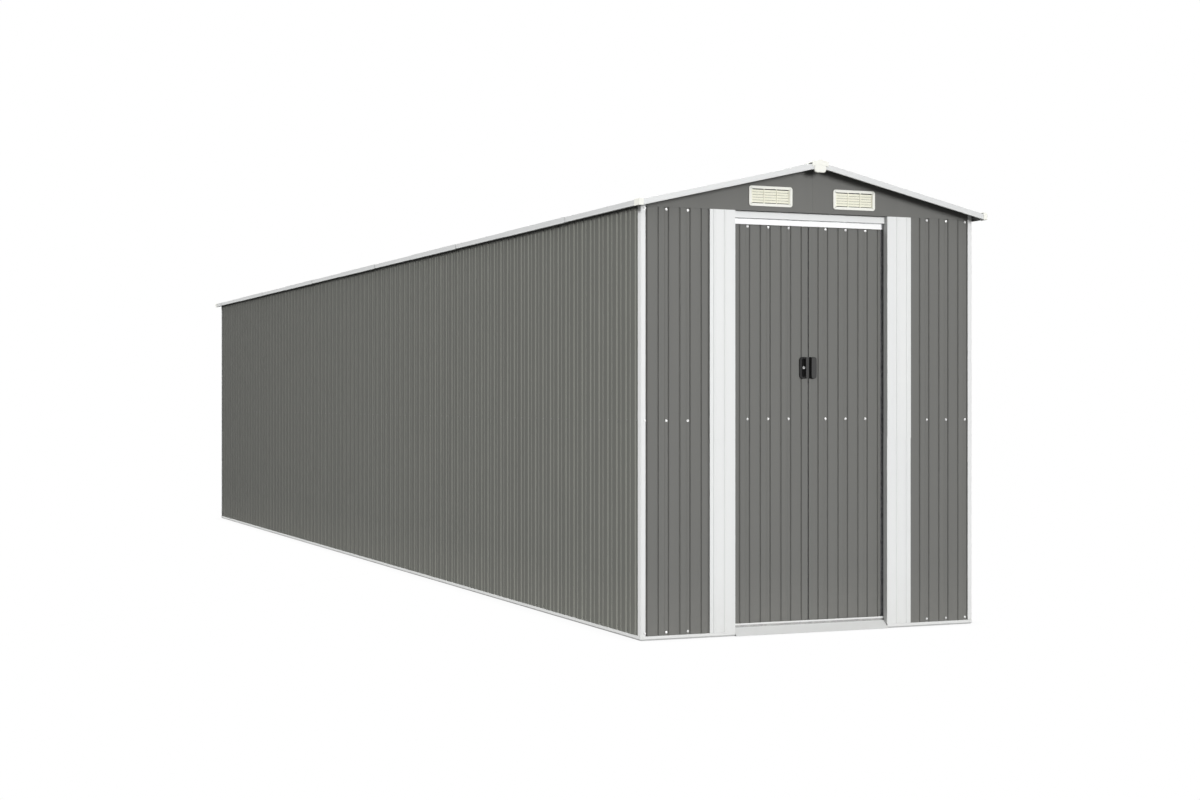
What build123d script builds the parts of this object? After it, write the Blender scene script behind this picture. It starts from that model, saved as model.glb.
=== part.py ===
"""Long metal storage shed: grooved steel walls, low gable roof, a pair of sliding doors.

Millimetres, +Z up. The origin is on the ground, under the middle of the roof.
The doors are in the front gable end, which looks along -Y. X runs across the shed.
"""
from build123d import *
import math
import os

# Overall sizes
wall_length = 9790.0
wall_width = 1780.0
ridge_height = 2230.0
roof_pitch_deg = 13.0
eave_overhang = 40.0
verge_overhang = 75.0

# Sheet thicknesses and clearances
sheet = 0.8
trim_sheet = 1.2
seat_gap = 0.3
panel_gap = 0.4
overrun = 40.0

# Wall sheets: upright grooves in pairs, a wide one that takes the screws and a plain one
groove_pitch = 109.0
screw_groove_width = 24.0
screw_groove_depth = 6.0
plain_groove_width = 10.0
plain_groove_depth = 3.5
screw_groove_place_share = 0.37
plain_groove_step_share = 0.41
pitches_per_panel = 8
least_margin = 15.0
panel_bottom = 20.0
corner_inset = 10.0

# Corner posts
post_front_leg = 25.0
post_side_leg = 32.0
post_chamfer = 4.0

# Base rails
base_flange = 33.0
base_lip = 19.7
base_upstand = 55.0

# Rails behind the sheets
rail_height = 40.0
rail_depth = 24.0
mid_rail_height = 1010.0
top_rail_drop = 8.0
front_rail_lap = 4.0

# Doorway and its jambs
doorway_half = 408.0
jamb_width = 132.0
jamb_return = 34.5
jamb_seam_height = 930.0
jamb_rib_width = 12.0
jamb_rib_height = 2.0
jamb_rib_shares = (0.17, 0.59)
jamb_lap = 14.0
front_right_first_groove = 146.0
front_left_first_groove = 132.0

# Gables and their vents
gable_heel = 26.5
gable_lap = 6.0
vent_width = 228.0
vent_height = 94.0
vent_offset = 224.0
vent_rise = 70.0
vent_border = 13.0
vent_corner = 8.0
vent_flange = 4.0
vent_depth = 10.0
vent_slats = 5
vent_slat_thickness = 3.0

# Door header, top track and bottom track
header_depth = 20.0
header_strip = 34.0
track_lip_drop = 27.0
track_lip_reveal = 13.0
track_width = 45.0
track_end_gap = 4.0
bottom_track_lip = 18.0
guide_fin_width = 3.0
guide_fin_height = 40.0

# Door sill
sill_top = 54.0
sill_nose = 12.0
sill_ramp_height = 36.0
sill_ramp_run = 40.0
sill_riser_depth = 30.0

# Door leaves
door_clearance = 5.2
leaf_gap = 5.0
leaf_reveal = 11.0
leaf_overlap = 17.0
leaf_bottom = 50.0
leaf_head_gap = 10.0
leaf_right_first_groove = 82.5
leaf_left_first_groove = 76.0
leaf_frame_bar = 28.0
leaf_frame_depth = 18.0

# Plastic glides on the leaves
glide_length = 50.0
glide_inset = 60.0
glide_side_play = 1.0
glide_width = 24.0
glide_skirt = 12.0
top_glide_height = 6.0

# Door pulls
pull_width = 46.0
pull_height = 106.0
pull_base = 7.0
pull_corner = 7.0
pull_centre_height = 1250.0
pull_pocket_width = 20.0
pull_pocket_height = 82.0
pull_pocket_depth = 4.0
pull_grip_width = 14.0
pull_grip_height = 92.0
pull_grip_rise = 6.0
pull_grip_inset = 2.0

# Roof sheets
roof_rib_width = 24.0
roof_rib_height = 6.0
roof_ribs_per_panel = 2
ridge_joint_half = 6.0

# Ridge cap and its end caps
ridge_cap_half = 60.0
ridge_end_wall = 5.0
ridge_end_half = 43.0
ridge_end_length = 60.0
ridge_end_plate = 3.0
ridge_end_drop = 62.0
ridge_end_point_half = 20.0

# Eave and verge trims
eave_face = 29.0
eave_flange = 22.0
eave_lip = 12.0
verge_face = 27.0
verge_flange = 25.0
verge_lip = 10.0
corner_cap_length = 56.0
corner_cap_width = 22.5
corner_cap_wall = 3.0

# Roof structure
ridge_beam_half = 20.0
ridge_beam_drop = 46.0
trusses = 4
truss_bar = 30.0
truss_thickness = 30.0
truss_drop = 26.0

# Sizes worked out from those above
half_length = wall_length / 2
half_width = wall_width / 2
panel_module = pitches_per_panel * groove_pitch
plain_groove_step = plain_groove_step_share * groove_pitch
turned_groove_step = groove_pitch - plain_groove_step
side_panels = int((wall_length - 2 * least_margin) // panel_module)
back_panels = int((wall_width - 2 * least_margin) // panel_module)
cladding_depth = trim_sheet + seat_gap + screw_groove_depth + sheet
rail_face = cladding_depth + seat_gap
pitch = math.radians(roof_pitch_deg)
fall = math.tan(pitch)
roof_half = half_width + eave_overhang
roof_end = half_length + verge_overhang
roof_stack = sheet + roof_rib_height
cap_stack = roof_stack + seat_gap + trim_sheet + seat_gap + ridge_end_wall
ridge_under = ridge_height - cap_stack / math.cos(pitch)
jamb_outer = doorway_half + jamb_width
track_lip_half = doorway_half - track_lip_reveal
leaf_sheet_edge = doorway_half - leaf_reveal
leaf_frame_edge = doorway_half + leaf_overlap
glide_places = (glide_inset, leaf_frame_edge - glide_inset)
header_lip_depth = jamb_return + seat_gap
track_front = header_lip_depth + trim_sheet + seat_gap
track_back = track_front + track_width
leaf_face = track_front + trim_sheet + door_clearance
leaf_sheet_back = leaf_face + screw_groove_depth + sheet
leaf_frame_front = leaf_sheet_back + seat_gap
guide_centre = leaf_frame_front + leaf_frame_depth / 2

RIGHT = Vector(1, 0, 0)
FRONT = Vector(0, -1, 0)
BACK = Vector(0, 1, 0)
UP = Vector(0, 0, 1)
os.makedirs("parts", exist_ok=True)


def roof_under(x):
    """Height of the underside of the roof sheets at a distance from the middle."""
    return ridge_under - fall * abs(x)


def above_roof(x, thickness):
    """Height of a face that lies a given thickness above that underside."""
    return roof_under(x) + thickness / math.cos(pitch)


# Heights that follow the roof
gable_bottom = roof_under(half_width) - gable_heel
front_rail_top = gable_bottom + front_rail_lap
vent_centre_height = gable_bottom + vent_rise
header_bottom = gable_bottom - header_strip
leaf_top = header_bottom - leaf_head_gap
eave_face_bottom = above_roof(roof_half, roof_stack + seat_gap + trim_sheet) - eave_face
truss_bottom = gable_bottom - truss_drop


def prism(points, plane, length):
    """A closed outline in the plane's own x and y, drawn out along its normal."""
    outline = plane * make_face(Polyline(*points, close=True))
    return extrude(outline, amount=length, dir=plane.z_dir)


def standing(outward, origin):
    """Plane for an upright sheet: y looks outward, the normal is up."""
    return Plane(origin=origin, x_dir=outward.cross(UP), z_dir=UP)


def running(outward, distance, start):
    """Plane for a rail along a wall: x looks outward, y is up, the normal runs along."""
    along = outward.cross(UP)
    return Plane(origin=outward * distance + along * start, x_dir=outward, z_dir=along)


def save(name, pieces):
    """Write one node, made of one solid or of several that don't touch."""
    solids = [solid for piece in pieces for solid in piece.solids()]
    export_step(solids[0] if len(solids) == 1 else Compound(children=solids), f"parts/{name}.step")


def mirrored_x(pieces):
    return [mirror(piece, about=Plane.YZ) for piece in pieces]


def mirrored_y(pieces):
    return [mirror(piece, about=Plane.XZ) for piece in pieces]


# Ribbed and grooved sheets
def ribbed_outline(start, end, ribs, thickness):
    """Section of a folded sheet of even thickness, its back on y = 0 and its ribs outward."""
    front = [(start, thickness)]
    back = [(start, 0)]
    for centre, width, height in sorted(ribs):
        half = width / 2
        slope = math.atan2(height, half)
        inner_half = half - thickness * math.tan(slope / 2)
        inner_height = height + thickness - thickness / math.cos(slope)
        front += [(centre - half, thickness), (centre, thickness + height), (centre + half, thickness)]
        back += [(centre - inner_half, 0), (centre, inner_height), (centre + inner_half, 0)]
    front.append((end, thickness))
    back.append((end, 0))
    return front + back[::-1]


def grooved_outline(start, end, grooves):
    """The same kind of section turned over: its grooves run in, the deepest to y = 0."""
    turned = ribbed_outline(start, end, grooves, sheet)
    return [(x, screw_groove_depth + sheet - y) for x, y in turned]


def grooves_between(start, end, first, step):
    """Grooves that fit between two places, on the pitch through the first, each plain one a step on."""
    grooves = []
    place = first - math.ceil((first - start) / groove_pitch + 1) * groove_pitch
    while place < end:
        grooves.append((place, screw_groove_width, screw_groove_depth))
        grooves.append((place + step, plain_groove_width, plain_groove_depth))
        place += groove_pitch
    return [groove for groove in grooves if start + groove[1] / 2 < groove[0] < end - groove[1] / 2]


def wall_panels(outward, length, distance, panels, top):
    """One wall of lapped panels, as separate sheets side by side."""
    margin = (length - panels * panel_module) / 2
    first = margin + screw_groove_place_share * groove_pitch
    along = outward.cross(UP)
    origin = outward * (distance - cladding_depth) - along * (length / 2) + UP * panel_bottom
    plane = standing(outward, origin)
    pieces = []
    for count in range(panels):
        start = corner_inset if count == 0 else margin + count * panel_module
        last = count == panels - 1
        end = length - corner_inset if last else margin + (count + 1) * panel_module - panel_gap
        grooves = grooves_between(start, end, first, plain_groove_step)
        pieces.append(prism(grooved_outline(start, end, grooves), plane, top - panel_bottom))
    return pieces


side_wall_top = roof_under(half_width - trim_sheet - seat_gap) - seat_gap
end_wall_top = gable_bottom + gable_lap
right_wall = wall_panels(RIGHT, wall_length, half_width, side_panels, side_wall_top)
save("right_wall", right_wall)
save("left_wall", mirrored_x(right_wall))
save("back_wall", wall_panels(BACK, wall_width, half_length, back_panels, end_wall_top))


def front_panel(first, step):
    """Narrow sheet between the right-hand corner post and the jamb."""
    end = half_width - jamb_outer + jamb_lap
    grooves = grooves_between(corner_inset, end, first, step)
    origin = FRONT * (half_length - cladding_depth) + RIGHT * half_width + UP * panel_bottom
    return prism(grooved_outline(corner_inset, end, grooves), standing(FRONT, origin),
                 end_wall_top - panel_bottom)


# Both front sheets have their grooves in the same order from left to right, so they aren't mirror images
save("front_wall_right", [front_panel(front_right_first_groove, plain_groove_step)])
save("front_wall_left", mirrored_x([front_panel(front_left_first_groove, turned_groove_step)]))


# Corner posts
def corner_post():
    """Folded angle at the front right corner, its arris broken by a chamfer."""
    t = trim_sheet
    inner_chamfer = post_chamfer + t * (math.sqrt(2) - 1)
    points = [(-post_front_leg, 0), (-post_chamfer, 0), (0, post_chamfer), (0, post_side_leg),
              (-t, post_side_leg), (-t, inner_chamfer), (-inner_chamfer, t), (-post_front_leg, t)]
    plane = Plane(origin=(half_width, -half_length, panel_bottom))
    return prism(points, plane, roof_under(half_width) - seat_gap - panel_bottom)


post = [corner_post()]
save("corner_post_front_right", post)
save("corner_post_front_left", mirrored_x(post))
save("corner_post_back_right", mirrored_y(post))
save("corner_post_back_left", mirrored_x(mirrored_y(post)))


# Base rails
def base_outline():
    """Folded rail: a flange on the ground, an outer lip, a ledge and a leg behind the sheets."""
    t = trim_sheet
    return [(-base_flange, 0), (0, 0), (0, base_lip), (-rail_face, base_lip),
            (-rail_face, base_upstand), (-rail_face - t, base_upstand),
            (-rail_face - t, base_lip - t), (-t, base_lip - t), (-t, t), (-base_flange, t)]


def mitred(piece, outward, along, distance, reach):
    """Cut the far end of a rail on the slant, where it meets the next one round the corner."""
    normal = (along - outward).normalized()
    corner = outward * distance + along * reach - normal * (seat_gap / 2)
    return split(piece, bisect_by=Plane(origin=corner, z_dir=normal), keep=Keep.BOTTOM)


def base_rail(outward, distance, reach):
    """A rail the whole length of a wall, mitred at both ends."""
    along = outward.cross(UP)
    rail = prism(base_outline(), running(outward, distance, -reach), 2 * reach)
    rail = mitred(rail, outward, along, distance, reach)
    return mitred(rail, outward, -along, distance, reach)


right_base = [base_rail(RIGHT, half_width, half_length)]
save("base_rail_right", right_base)
save("base_rail_left", mirrored_x(right_base))
save("base_rail_back", [base_rail(BACK, half_length, half_width)])
front_run = running(FRONT, half_length, -half_width)
front_base = prism(base_outline(), front_run, half_width - doorway_half - trim_sheet - seat_gap)
front_base = mitred(front_base, FRONT, RIGHT, half_length, half_width)
save("base_rail_front", [front_base] + mirrored_x([front_base]))


# Rails behind the sheets
def channel(outward, distance, start, end, bottom):
    """Folded channel whose web lies on the back of a wall sheet."""
    t = trim_sheet
    h = rail_height
    points = [(0, 0), (0, h), (-rail_depth, h), (-rail_depth, h - t), (-t, h - t),
              (-t, t), (-rail_depth, t), (-rail_depth, 0)]
    plane = running(outward, distance - rail_face, start)
    return Pos(0, 0, bottom) * prism(points, plane, end - start)


side_rail_reach = half_length - rail_face - rail_depth - seat_gap
back_rail_reach = half_width - rail_face - rail_depth - seat_gap
front_rail_start = -(half_width - rail_face - seat_gap)
front_rail_end = -(doorway_half + trim_sheet + seat_gap)
mid_bottom = mid_rail_height - rail_height / 2
top_bottom = side_wall_top - top_rail_drop - rail_height
front_top_bottom = front_rail_top - rail_height


def side_rails(bottom):
    rail = [channel(RIGHT, half_width, -side_rail_reach, side_rail_reach, bottom)]
    return rail + mirrored_x(rail)


def end_rails(bottom):
    back = [channel(BACK, half_length, -back_rail_reach, back_rail_reach, bottom)]
    front = [channel(FRONT, half_length, front_rail_start, front_rail_end, bottom)]
    return back + front + mirrored_x(front)


save("mid_rails_sides", side_rails(mid_bottom))
save("mid_rails_ends", end_rails(mid_bottom))
save("top_rails_sides", side_rails(top_bottom))
save("top_rails_ends", end_rails(front_top_bottom))


# Door jambs
def jamb(bottom, top):
    """White facing beside the doorway, with two low ribs and a return towards the doors."""
    t = trim_sheet
    ribs = [(share * jamb_width, jamb_rib_width, jamb_rib_height) for share in jamb_rib_shares]
    outline = ribbed_outline(0, jamb_width, ribs, t)
    origin = FRONT * (half_length - t) + RIGHT * jamb_outer + UP * bottom
    face = prism(outline, standing(FRONT, origin), top - bottom)
    turn = Pos(doorway_half, -half_length, bottom) * Box(
        t, jamb_return, top - bottom, align=(Align.MIN, Align.MIN, Align.MIN))
    return face + turn


jamb_top = gable_bottom - seat_gap
right_jamb = [jamb(panel_bottom, jamb_seam_height - panel_gap / 2),
              jamb(jamb_seam_height + panel_gap / 2, jamb_top)]
save("door_jamb_right", right_jamb)
save("door_jamb_left", mirrored_x(right_jamb))


# Door header and tracks
def across(points, half):
    """A section in depth behind the front and height, drawn out across the doorway."""
    plane = Plane(origin=(-half, -half_length, 0), x_dir=(0, 1, 0), z_dir=(1, 0, 0))
    return prism(points, plane, 2 * half)


def door_header():
    """White strip over the doorway, a shelf behind it and a lip that hides the door tops."""
    t = trim_sheet
    top = gable_bottom - seat_gap
    back = header_lip_depth + t
    strip = [(header_depth, header_bottom), (header_depth, top), (header_depth + t, top),
             (header_depth + t, header_bottom + t), (back, header_bottom + t), (back, header_bottom)]
    lip = [(header_lip_depth, header_bottom + t), (back, header_bottom + t),
           (back, header_bottom - track_lip_drop), (header_lip_depth, header_bottom - track_lip_drop)]
    return across(strip, doorway_half - seat_gap) + across(lip, track_lip_half)


def top_track():
    """Inverted channel across the whole front, in which the door tops run."""
    t = trim_sheet
    low = header_bottom - track_lip_drop + t
    top = header_bottom + t
    points = [(track_front, low), (track_front, top), (track_back, top), (track_back, low),
              (track_back - t, low), (track_back - t, top - t), (track_front + t, top - t),
              (track_front + t, low)]
    return across(points, track_half)


def bottom_track():
    """Channel on the ground with the fin that carries and guides the doors."""
    t = trim_sheet
    front = base_flange + seat_gap
    near = guide_centre - guide_fin_width / 2
    far = guide_centre + guide_fin_width / 2
    points = [(front, 0), (track_back, 0), (track_back, bottom_track_lip),
              (track_back - t, bottom_track_lip), (track_back - t, t), (far, t),
              (far, guide_fin_height), (near, guide_fin_height), (near, t), (front + t, t),
              (front + t, bottom_track_lip), (front, bottom_track_lip)]
    return across(points, track_half)


def door_sill():
    """Folded ramp on the ground across the doorway, with a low riser up to the door bottoms."""
    t = trim_sheet
    high = sill_ramp_height
    ramp_top = sill_ramp_run - sill_nose
    back = track_front - seat_gap
    inner_foot = t * math.hypot(sill_ramp_run, high) / high - sill_nose
    inner_top = inner_foot + (high - t) * sill_ramp_run / high
    points = [(-sill_nose, 0), (ramp_top, high), (sill_riser_depth, high), (sill_riser_depth, sill_top),
              (back, sill_top), (back, sill_top - t), (sill_riser_depth + t, sill_top - t),
              (sill_riser_depth + t, high - t), (inner_top, high - t), (inner_foot, 0)]
    return across(points, doorway_half - seat_gap)


track_half = half_width - base_flange - track_end_gap
save("door_header", [door_header()])
save("door_top_track", [top_track()])
save("door_bottom_track", [bottom_track()])
save("door_sill", [door_sill()])


# Gables
def gable_half():
    """Right half of the front gable: a plain sheet under the roof, cut out for its vent."""
    inner = panel_gap / 2
    outer = half_width - post_front_leg - seat_gap
    points = [(inner, gable_bottom), (outer, gable_bottom),
              (outer, roof_under(outer) - seat_gap), (inner, roof_under(inner) - seat_gap)]
    plane = Plane(origin=(0, -half_length + trim_sheet, 0), x_dir=(1, 0, 0), z_dir=(0, -1, 0))
    hole = Pos(vent_offset, -half_length, vent_centre_height) * Box(
        vent_width - 2 * vent_border + 2 * seat_gap, overrun, vent_height - 2 * vent_border + 2 * seat_gap)
    return prism(points, plane, trim_sheet) - hole


def clipped(width, height, cut):
    """Corner points of a rectangle whose corners are cut off."""
    w = width / 2
    h = height / 2
    return [(w, cut - h), (w, h - cut), (w - cut, h), (cut - w, h),
            (-w, h - cut), (-w, cut - h), (cut - w, -h), (w - cut, -h)]


def vent():
    """Moulded vent: a flange on the gable, a short sleeve and sloping slats."""
    plane = Plane(origin=(vent_offset, -half_length - seat_gap, vent_centre_height),
                  x_dir=(1, 0, 0), z_dir=(0, -1, 0))
    inner_width = vent_width - 2 * vent_border
    inner_height = vent_height - 2 * vent_border
    wall = vent_slat_thickness
    flange = prism(clipped(vent_width, vent_height, vent_corner), plane, vent_flange)
    sleeve = extrude(plane * Rectangle(inner_width, inner_height), amount=-vent_depth)
    clear = Rectangle(inner_width - 2 * wall, inner_height - 2 * wall)
    tunnel = extrude(plane * clear, amount=overrun, both=True)
    frame = flange + sleeve - tunnel
    spacing = (inner_height - 2 * wall) / (vent_slats + 1)
    lean = spacing / 2
    for count in range(vent_slats):
        low = (count + 1) * spacing - inner_height / 2 + wall - lean
        points = [(-vent_flange, low), (vent_depth, low + lean), (vent_depth, low + wall + lean),
                  (-vent_flange, low + wall)]
        side = Plane(origin=plane.origin - RIGHT * (inner_width / 2), x_dir=(0, 1, 0), z_dir=(1, 0, 0))
        frame += prism(points, side, inner_width)
    return frame


gable = [gable_half()]
front_gable = gable + mirrored_x(gable)
save("gable_front", front_gable)
save("gable_back", mirrored_y(front_gable))
front_vent = [vent()]
front_vents = front_vent + mirrored_x(front_vent)
save("vents_front", front_vents)
save("vents_back", mirrored_y(front_vents))


# Roof sheets
def down_slope(start):
    """Plane across the right slope: x runs along the shed, y is square to the roof."""
    direction = (math.cos(pitch), 0, -math.sin(pitch))
    return Plane(origin=(start, 0, roof_under(start)), x_dir=(0, 1, 0), z_dir=direction)


def slope_length(start, end):
    return (end - start) / math.cos(pitch)


def roof_panels():
    """Right slope: sheets side by side, each with ribs running down to the eave."""
    first = -side_panels * panel_module / 2
    reach = roof_end - trim_sheet - seat_gap
    lower_edge = roof_half - corner_cap_wall - seat_gap - roof_stack * math.sin(pitch)
    length = slope_length(ridge_joint_half, lower_edge)
    spacing = panel_module / roof_ribs_per_panel
    pieces = []
    for count in range(side_panels):
        left = first + count * panel_module
        start = -reach if count == 0 else left
        end = reach if count == side_panels - 1 else left + panel_module - panel_gap
        ribs = [(left + (step + 1 / 2) * spacing, roof_rib_width, roof_rib_height)
                for step in range(roof_ribs_per_panel)]
        outline = ribbed_outline(start, end, ribs, sheet)
        pieces.append(prism(outline, down_slope(ridge_joint_half), length))
    return pieces


right_roof = roof_panels()
save("roof_right", right_roof)
save("roof_left", mirrored_x(right_roof))


# Eave trims, in lengths that follow the panels
def eave_section(wall, bottom):
    """Fascia over the ends of the roof sheets: a flange on top, a face and a lip below."""
    low = roof_stack + seat_gap
    high = low + wall
    top_edge = roof_half - eave_flange
    inside = roof_half - wall
    return [(roof_half, bottom), (roof_half, above_roof(roof_half, high)),
            (top_edge, above_roof(top_edge, high)), (top_edge, above_roof(top_edge, low)),
            (inside, above_roof(inside, low)), (inside, bottom + wall),
            (roof_half - eave_lip, bottom + wall), (roof_half - eave_lip, bottom)]


def along_shed(points, start, end):
    """A section in x and height, drawn out from front to back."""
    plane = Plane(origin=(0, end, 0), x_dir=(1, 0, 0), z_dir=(0, -1, 0))
    return prism(points, plane, end - start)


def eave_trims():
    first = -side_panels * panel_module / 2
    reach = roof_end - corner_cap_length - seat_gap
    pieces = []
    for count in range(side_panels):
        left = first + count * panel_module
        start = -reach if count == 0 else left
        end = reach if count == side_panels - 1 else left + panel_module - panel_gap
        pieces.append(along_shed(eave_section(trim_sheet, eave_face_bottom), start, end))
    return pieces


right_eave = eave_trims()
save("eave_trim_right", right_eave)
save("eave_trim_left", mirrored_x(right_eave))


# Verge trims
def verge_trim():
    """Front right bargeboard: a flange on the flat of the end sheet, a face and a lip below."""
    t = trim_sheet
    face = verge_face * math.cos(pitch)
    top = sheet + seat_gap + t
    points = [(-roof_end, top), (-roof_end, top - face), (verge_lip - roof_end, top - face),
              (verge_lip - roof_end, top - face + t), (t - roof_end, top - face + t),
              (t - roof_end, top - t), (verge_flange - roof_end, top - t), (verge_flange - roof_end, top)]
    end = roof_half - corner_cap_width - seat_gap
    trim = prism(points, down_slope(0), slope_length(0, roof_half))
    trim = split(trim, bisect_by=Plane(origin=(end, 0, 0), z_dir=(1, 0, 0)), keep=Keep.BOTTOM)
    return split(trim, bisect_by=Plane(origin=(ridge_joint_half, 0, 0), z_dir=(1, 0, 0)), keep=Keep.TOP)


verge = [verge_trim()]
front_verge = verge + mirrored_x(verge)
save("verge_trim_front", front_verge)
save("verge_trim_back", mirrored_y(front_verge))


# Eave corner caps
def corner_cap():
    """Moulded cap where the front verge meets the right eave, open towards the roof."""
    wall = corner_cap_wall
    front = -roof_end
    side = along_shed(eave_section(wall, eave_face_bottom), front, front + corner_cap_length)
    inner = roof_half - corner_cap_width
    high = roof_stack + seat_gap + wall
    plate = [(roof_half, eave_face_bottom), (roof_half, above_roof(roof_half, high)),
             (inner, above_roof(inner, high)), (inner, eave_face_bottom + fall * corner_cap_width)]
    return side + along_shed(plate, front, front + trim_sheet)


cap = [corner_cap()]
front_caps = cap + mirrored_x(cap)
save("eave_corner_caps", front_caps + mirrored_y(front_caps))


# Ridge
def ridge_section(half, low, wall):
    """A folded strip over the ridge, even in thickness, following both slopes."""
    outer = [(-half, above_roof(half, low + wall)), (0, above_roof(0, low + wall)),
             (half, above_roof(half, low + wall))]
    inner = [(half, above_roof(half, low)), (0, above_roof(0, low)), (-half, above_roof(half, low))]
    return outer + inner


ridge_low = roof_stack + seat_gap
ridge_reach = roof_end - verge_flange - seat_gap
ridge_strip = ridge_section(ridge_cap_half, ridge_low, trim_sheet)
save("ridge_cap", [along_shed(ridge_strip, -ridge_reach, ridge_reach)])


def ridge_end_cap():
    """Moulded cap over the front end of the ridge, with a pointed plate over the verge joint."""
    front = -roof_end - seat_gap - ridge_end_plate
    low = ridge_low + trim_sheet + seat_gap
    saddle = ridge_section(ridge_end_half, low, ridge_end_wall)
    bottom = ridge_height - ridge_end_drop
    plate = saddle[:3] + [(ridge_end_half, bottom + fall * ridge_end_half),
                          (ridge_end_point_half, bottom), (-ridge_end_point_half, bottom),
                          (-ridge_end_half, bottom + fall * ridge_end_half)]
    return along_shed(saddle, front, front + ridge_end_length) + along_shed(
        plate, front, front + ridge_end_plate)


end_cap = [ridge_end_cap()]
save("ridge_end_caps", end_cap + mirrored_y(end_cap))


# Ridge beam and roof trusses
def ridge_beam():
    """Folded beam under the ridge, open below, from gable to gable."""
    t = trim_sheet
    half = ridge_beam_half
    low = ridge_under - ridge_beam_drop
    points = [(-half, low), (-half, roof_under(half) - seat_gap), (0, roof_under(0) - seat_gap),
              (half, roof_under(half) - seat_gap), (half, low), (half - t, low),
              (half - t, roof_under(half) - seat_gap - t), (0, roof_under(0) - seat_gap - t),
              (t - half, roof_under(half) - seat_gap - t), (t - half, low)]
    reach = half_length - trim_sheet - seat_gap
    return along_shed(points, -reach, reach)


def truss(place):
    """Flat roof frame across the shed: a tie, and two rafters from it up to the ridge beam."""
    reach = half_width - rail_face - rail_depth - seat_gap
    start = place - truss_thickness / 2
    end = place + truss_thickness / 2
    tie_top = truss_bottom + truss_bar
    tie = [(-reach, truss_bottom), (reach, truss_bottom), (reach, tie_top), (-reach, tie_top)]
    inner = ridge_beam_half + seat_gap
    depth = truss_bar / math.cos(pitch)
    slope = [(inner, roof_under(inner) - seat_gap), (reach, roof_under(reach) - seat_gap),
             (reach, roof_under(reach) - seat_gap - depth), (inner, roof_under(inner) - seat_gap - depth)]
    seat = Plane(origin=(0, 0, tie_top + seat_gap))
    rafter = split(along_shed(slope, start, end), bisect_by=seat, keep=Keep.TOP)
    return [along_shed(tie, start, end), rafter] + mirrored_x([rafter])


save("ridge_beam", [ridge_beam()])
truss_spacing = wall_length / (trusses + 1)
truss_places = [(count + 1) * truss_spacing - half_length for count in range(trusses)]
save("roof_trusses", [bar for place in truss_places for bar in truss(place)])


# Sliding door leaves, drawn as the right one; the left one is mirrored, apart from its grooves
def leaf_sheet(first, step):
    """Grooved door sheet, its grooves counted in from the outer edge."""
    width = leaf_sheet_edge - leaf_gap / 2
    grooves = grooves_between(0, width, first, step)
    origin = FRONT * (half_length - leaf_sheet_back) + RIGHT * leaf_sheet_edge + UP * leaf_bottom
    return prism(grooved_outline(0, width, grooves), standing(FRONT, origin), leaf_top - leaf_bottom)


def leaf_frame():
    """Edge frame behind the sheet, with a bar at mid height."""
    width = leaf_frame_edge - leaf_gap / 2
    height = leaf_top - leaf_bottom
    bar = leaf_frame_bar
    centre = (leaf_gap / 2 + leaf_frame_edge) / 2
    place = Plane(origin=(centre, leaf_frame_front - half_length, 0), x_dir=(1, 0, 0), z_dir=(0, -1, 0))
    lower = mid_rail_height - bar / 2
    upper = mid_rail_height + bar / 2
    outside = Pos(0, (leaf_bottom + leaf_top) / 2) * Rectangle(width, height)
    low_hole = Pos(0, (leaf_bottom + bar + lower) / 2) * Rectangle(width - 2 * bar, lower - leaf_bottom - bar)
    high_hole = Pos(0, (upper + leaf_top - bar) / 2) * Rectangle(width - 2 * bar, leaf_top - bar - upper)
    return extrude(place * (outside - low_hole - high_hole), amount=-leaf_frame_depth)


def bottom_glide(place):
    """Plastic shoe under the frame, slotted over the guide fin."""
    top = leaf_bottom - seat_gap
    slot = guide_fin_width / 2 + glide_side_play
    slot_top = guide_fin_height + seat_gap
    low = guide_fin_height - glide_skirt
    half = glide_width / 2
    points = [(-half, low), (-slot, low), (-slot, slot_top), (slot, slot_top), (slot, low),
              (half, low), (half, top), (-half, top)]
    plane = Plane(origin=(place - glide_length / 2, guide_centre - half_length, 0),
                  x_dir=(0, 1, 0), z_dir=(1, 0, 0))
    return prism(points, plane, glide_length)


def top_glide(place):
    """Plastic block on top of the frame, running between the lips of the top track."""
    near = track_front + trim_sheet + glide_side_play
    far = track_back - trim_sheet - glide_side_play
    return Pos(place, near - half_length, leaf_top + seat_gap) * Box(
        glide_length, far - near, top_glide_height, align=(Align.CENTER, Align.MIN, Align.MIN))


def door_pull():
    """Moulded pull by the meeting line: a plate, a finger pocket and a raised grip."""
    back = leaf_face - seat_gap
    plane = Plane(origin=(leaf_gap / 2 + pull_width / 2, back - half_length, pull_centre_height),
                  x_dir=(1, 0, 0), z_dir=(0, -1, 0))
    plate = prism(clipped(pull_width, pull_height, pull_corner), plane, pull_base)
    grip_place = Pos(pull_grip_inset + (pull_grip_width - pull_width) / 2, 0)
    grip = extrude(plane * grip_place * Rectangle(pull_grip_width, pull_grip_height),
                   amount=pull_base + pull_grip_rise)
    pocket_place = Pos((pull_width - pull_pocket_width) / 2 - pull_grip_inset * 2, 0)
    face = plane.offset(pull_base)
    pocket = extrude(face * pocket_place * Rectangle(pull_pocket_width, pull_pocket_height),
                     amount=-pull_pocket_depth)
    return plate + grip - pocket


frame = [leaf_frame()]
pull = [door_pull()]
glides = [bottom_glide(place) for place in glide_places] + [top_glide(place) for place in glide_places]
save("right_door_sheet", [leaf_sheet(leaf_right_first_groove, plain_groove_step)])
save("right_door_frame", frame)
save("right_door_glides", glides)
save("right_door_pull", pull)
save("left_door_sheet", mirrored_x([leaf_sheet(leaf_left_first_groove, turned_groove_step)]))
save("left_door_frame", mirrored_x(frame))
save("left_door_glides", mirrored_x(glides))
save("left_door_pull", mirrored_x(pull))
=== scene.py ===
import math

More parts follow.
